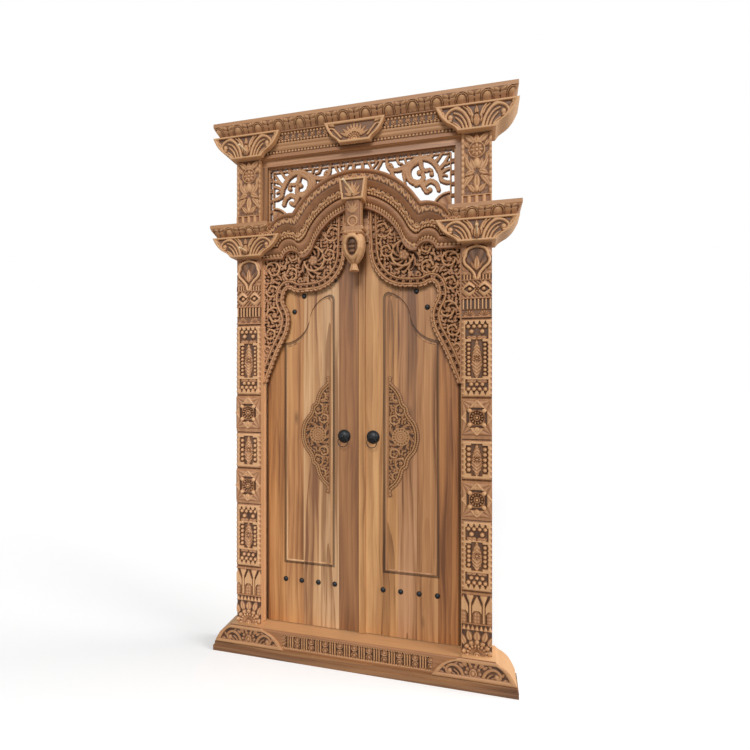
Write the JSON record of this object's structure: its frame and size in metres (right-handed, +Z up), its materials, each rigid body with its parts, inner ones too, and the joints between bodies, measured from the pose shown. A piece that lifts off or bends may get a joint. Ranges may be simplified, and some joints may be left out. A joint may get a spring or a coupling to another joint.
{
  "type": "carved double-leaf door in a frame",
  "caption": "Carved teak double door in its frame: carved posts, capitals, shell cornices, trefoil arch with pendant, pierced spandrels and transom, plank leaves with ring pulls.",
  "frame": {"origin": "centre of the frame's foot on the floor, at mid width and mid depth of the jamb stock", "axes": "+X to the viewer's right, +Y from the carved front to the plain back, +Z up"},
  "size_m": [1.53, 0.319, 2.7],
  "materials": {
    "carved_teak": "oiled",
    "leaf_teak": "oiled",
    "peg_teak": "raw",
    "black_iron": "blackened"
  },
  "bodies": {
    "frame": {"assembly_pegs": "peg_teak", "base_plinth": "carved_teak", "centre_bracket": "carved_teak", "crown_cornice": "carved_teak", "frieze_beam": "carved_teak", "head_rail": "carved_teak", "keystone": "carved_teak", "left_arch": "carved_teak", "left_base_block": "carved_teak", "left_jamb": "carved_teak", "left_mid_bracket": "carved_teak", "left_mid_cornice": "carved_teak", "left_spandrel": "carved_teak", "left_transom_stile": "carved_teak", "left_upper_bracket": "carved_teak", "left_upper_post": "carved_teak", "pendant": "carved_teak", "right_arch": "carved_teak", "right_base_block": "carved_teak", "right_jamb": "carved_teak", "right_mid_bracket": "carved_teak", "right_mid_cornice": "carved_teak", "right_spandrel": "carved_teak", "right_transom_stile": "carved_teak", "right_upper_bracket": "carved_teak", "right_upper_post": "carved_teak", "sill_beam": "carved_teak", "transom_fretwork": "carved_teak", "transom_top_rail": "carved_teak"},
    "left_leaf": {"left_leaf_hinge_plank": "leaf_teak", "left_leaf_inner_plank": "leaf_teak", "left_leaf_lower_ledge": "leaf_teak", "left_leaf_meeting_plank": "leaf_teak", "left_leaf_middle_plank": "leaf_teak", "left_leaf_outer_plank": "leaf_teak", "left_leaf_studs": "black_iron", "left_leaf_upper_ledge": "leaf_teak", "left_medallion": "carved_teak", "left_pull_boss": "black_iron", "left_pull_staple": "black_iron"},
    "right_leaf": {"meeting_strip": "leaf_teak", "right_leaf_hinge_plank": "leaf_teak", "right_leaf_inner_plank": "leaf_teak", "right_leaf_lower_ledge": "leaf_teak", "right_leaf_meeting_plank": "leaf_teak", "right_leaf_middle_plank": "leaf_teak", "right_leaf_outer_plank": "leaf_teak", "right_leaf_studs": "black_iron", "right_leaf_upper_ledge": "leaf_teak", "right_medallion": "carved_teak", "right_pull_boss": "black_iron", "right_pull_staple": "black_iron"},
    "left_ring": {"left_pull_ring": "black_iron"},
    "right_ring": {"right_pull_ring": "black_iron"}
  },
  "joints": [
    {"name": "left_leaf_swing", "type": "hinge", "parent": "frame", "child": "left_leaf", "pos_m": [-0.482, 0.028, 1.1], "axis": [0, 0, 1], "range_deg": [0, 90]},
    {"name": "right_leaf_swing", "type": "hinge", "parent": "frame", "child": "right_leaf", "pos_m": [0.482, 0.028, 1.1], "axis": [0, 0, -1], "range_deg": [0, 90]},
    {"name": "left_ring_lift", "type": "hinge", "parent": "left_leaf", "child": "left_ring", "pos_m": [-0.073, -0.019, 1.105], "axis": [-1, 0, 0], "range_deg": [0, 140]},
    {"name": "right_ring_lift", "type": "hinge", "parent": "right_leaf", "child": "right_ring", "pos_m": [0.073, -0.019, 1.105], "axis": [-1, 0, 0], "range_deg": [0, 140]}
  ]
}
